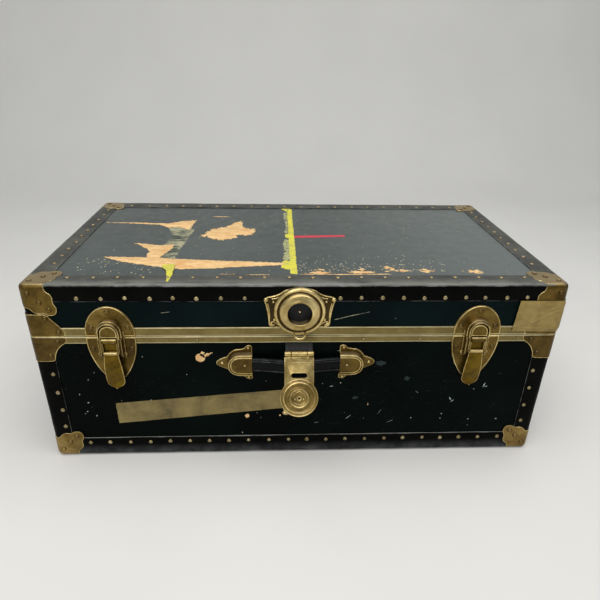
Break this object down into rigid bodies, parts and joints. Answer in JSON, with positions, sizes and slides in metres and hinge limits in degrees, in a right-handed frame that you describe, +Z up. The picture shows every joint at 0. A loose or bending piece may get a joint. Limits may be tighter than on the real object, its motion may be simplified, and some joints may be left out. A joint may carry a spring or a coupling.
{
  "type": "steamer trunk",
  "caption": "Shallow rectangular trunk with a hinged lid, bound edges, brass corner caps, draw latches, a hasp lock and leather handles.",
  "frame": {"origin": "on the floor under the middle of the whole object's box, which takes in the hasp in front, the hinges behind and the end handles", "axes": "+X to the right along the trunk's length, -Y out of the front with the lock, +Z up"},
  "size_m": [0.8148, 0.4767, 0.3087],
  "materials": {
    "painted_board": "plywood under dark green painted fibreboard",
    "fibre_binding": "black vulcanised fibre, worn grey",
    "valance_brass": "pale, dull",
    "aged_brass": "aged, olive gold, bright on its edges",
    "leather": "black, semi-gloss",
    "steel": "dull plated"
  },
  "bodies": {
    "case": {"bottom_panel": "painted_board", "front_panel": "painted_board", "back_panel": "painted_board", "left_end_panel": "painted_board", "right_end_panel": "painted_board", "base_binding": "fibre_binding", "base_valance": "valance_brass", "base_corner_cap_front_left": "aged_brass", "base_corner_cap_front_right": "aged_brass", "base_corner_cap_back_left": "aged_brass", "base_corner_cap_back_right": "aged_brass", "base_clamp_front_left": "aged_brass", "base_clamp_front_right": "aged_brass", "base_clamp_back_left": "aged_brass", "base_clamp_back_right": "aged_brass", "left_latch_plate": "aged_brass", "right_latch_plate": "aged_brass", "hasp_bracket": "aged_brass", "front_handle_strap": "leather", "front_handle_cap_a": "aged_brass", "front_handle_cap_b": "aged_brass", "left_handle_cap_a": "aged_brass", "left_handle_cap_b": "aged_brass", "right_handle_cap_a": "aged_brass", "right_handle_cap_b": "aged_brass", "left_hinge_base_leaf": "aged_brass", "right_hinge_base_leaf": "aged_brass", "stay_base_bracket": "steel"},
    "lid": {"lid_top_panel": "painted_board", "lid_front_rail": "painted_board", "lid_back_rail": "painted_board", "lid_left_rail": "painted_board", "lid_right_rail": "painted_board", "lid_binding": "fibre_binding", "lid_valance": "valance_brass", "lid_corner_cap_front_left": "aged_brass", "lid_corner_cap_front_right": "aged_brass", "lid_corner_cap_back_left": "aged_brass", "lid_corner_cap_back_right": "aged_brass", "lid_clamp_front_left": "aged_brass", "lid_clamp_front_right": "aged_brass", "lid_clamp_back_left": "aged_brass", "lid_clamp_back_right": "aged_brass", "lock_receptacle": "aged_brass", "left_latch_keeper": "aged_brass", "right_latch_keeper": "aged_brass", "left_hinge_lid_leaf": "aged_brass", "right_hinge_lid_leaf": "aged_brass", "stay_lid_bracket": "steel"},
    "hasp_flap": {"hasp": "aged_brass"},
    "key_plug": {"lock_plug": "steel"},
    "left_lever": {"left_latch_lever": "aged_brass"},
    "left_link": {"left_latch_link": "aged_brass"},
    "right_lever": {"right_latch_lever": "aged_brass"},
    "right_link": {"right_latch_link": "aged_brass"},
    "stay_lower": {"stay_lower_arm": "steel"},
    "stay_upper": {"stay_upper_arm": "steel"},
    "left_strap": {"left_handle_strap": "leather"},
    "right_strap": {"right_handle_strap": "leather"}
  },
  "joints": [
    {"name": "lid_hinge", "type": "hinge", "parent": "case", "child": "lid", "pos_m": [0, 0.23568, 0.225], "axis": [-1, 0, 0], "range_deg": [0, 100]},
    {"name": "hasp_hinge", "type": "hinge", "parent": "case", "child": "hasp_flap", "pos_m": [-0.001, -0.19992, 0.2012], "axis": [-1, 0, 0], "range_deg": [0, 156]},
    {"name": "key_turn", "type": "hinge", "parent": "hasp_flap", "child": "key_plug", "pos_m": [-0.001, -0.22689, 0.14063], "axis": [0, 0.9135, -0.4067], "range_deg": [0, 90]},
    {"name": "left_lever_pivot", "type": "hinge", "parent": "case", "child": "left_lever", "pos_m": [-0.2755, -0.19692, 0.2215], "axis": [-1, 0, 0], "range_deg": [0, 115]},
    {"name": "left_link_pivot", "type": "hinge", "parent": "left_lever", "child": "left_link", "pos_m": [-0.2755, -0.19592, 0.2025], "axis": [-1, 0, 0], "range_deg": [-115, 0]},
    {"name": "right_lever_pivot", "type": "hinge", "parent": "case", "child": "right_lever", "pos_m": [0.266, -0.19692, 0.2215], "axis": [-1, 0, 0], "range_deg": [0, 115]},
    {"name": "right_link_pivot", "type": "hinge", "parent": "right_lever", "child": "right_link", "pos_m": [0.266, -0.19592, 0.2025], "axis": [-1, 0, 0], "range_deg": [-115, 0]},
    {"name": "stay_lower_pivot", "type": "hinge", "parent": "case", "child": "stay_lower", "pos_m": [-0.381, 0.16568, 0.189], "axis": [-1, 0, 0], "range_deg": [0, 100]},
    {"name": "stay_upper_pivot", "type": "hinge", "parent": "lid", "child": "stay_upper", "pos_m": [-0.379, 0.06768, 0.275], "axis": [-1, 0, 0], "range_deg": [-100, 0]},
    {"name": "left_strap_pull", "type": "slide", "parent": "case", "child": "left_strap", "axis": [-1, 0, 0], "range_m": [0, 0.012]},
    {"name": "right_strap_pull", "type": "slide", "parent": "case", "child": "right_strap", "axis": [1, 0, 0], "range_m": [0, 0.012]}
  ],
  "couplings": [
    {"joint": "left_link_pivot", "follows": "left_lever_pivot", "ratio": -1},
    {"joint": "right_link_pivot", "follows": "right_lever_pivot", "ratio": -1},
    {"joint": "stay_lower_pivot", "follows": "lid_hinge", "ratio": 1},
    {"joint": "stay_upper_pivot", "follows": "lid_hinge", "ratio": -1}
  ]
}
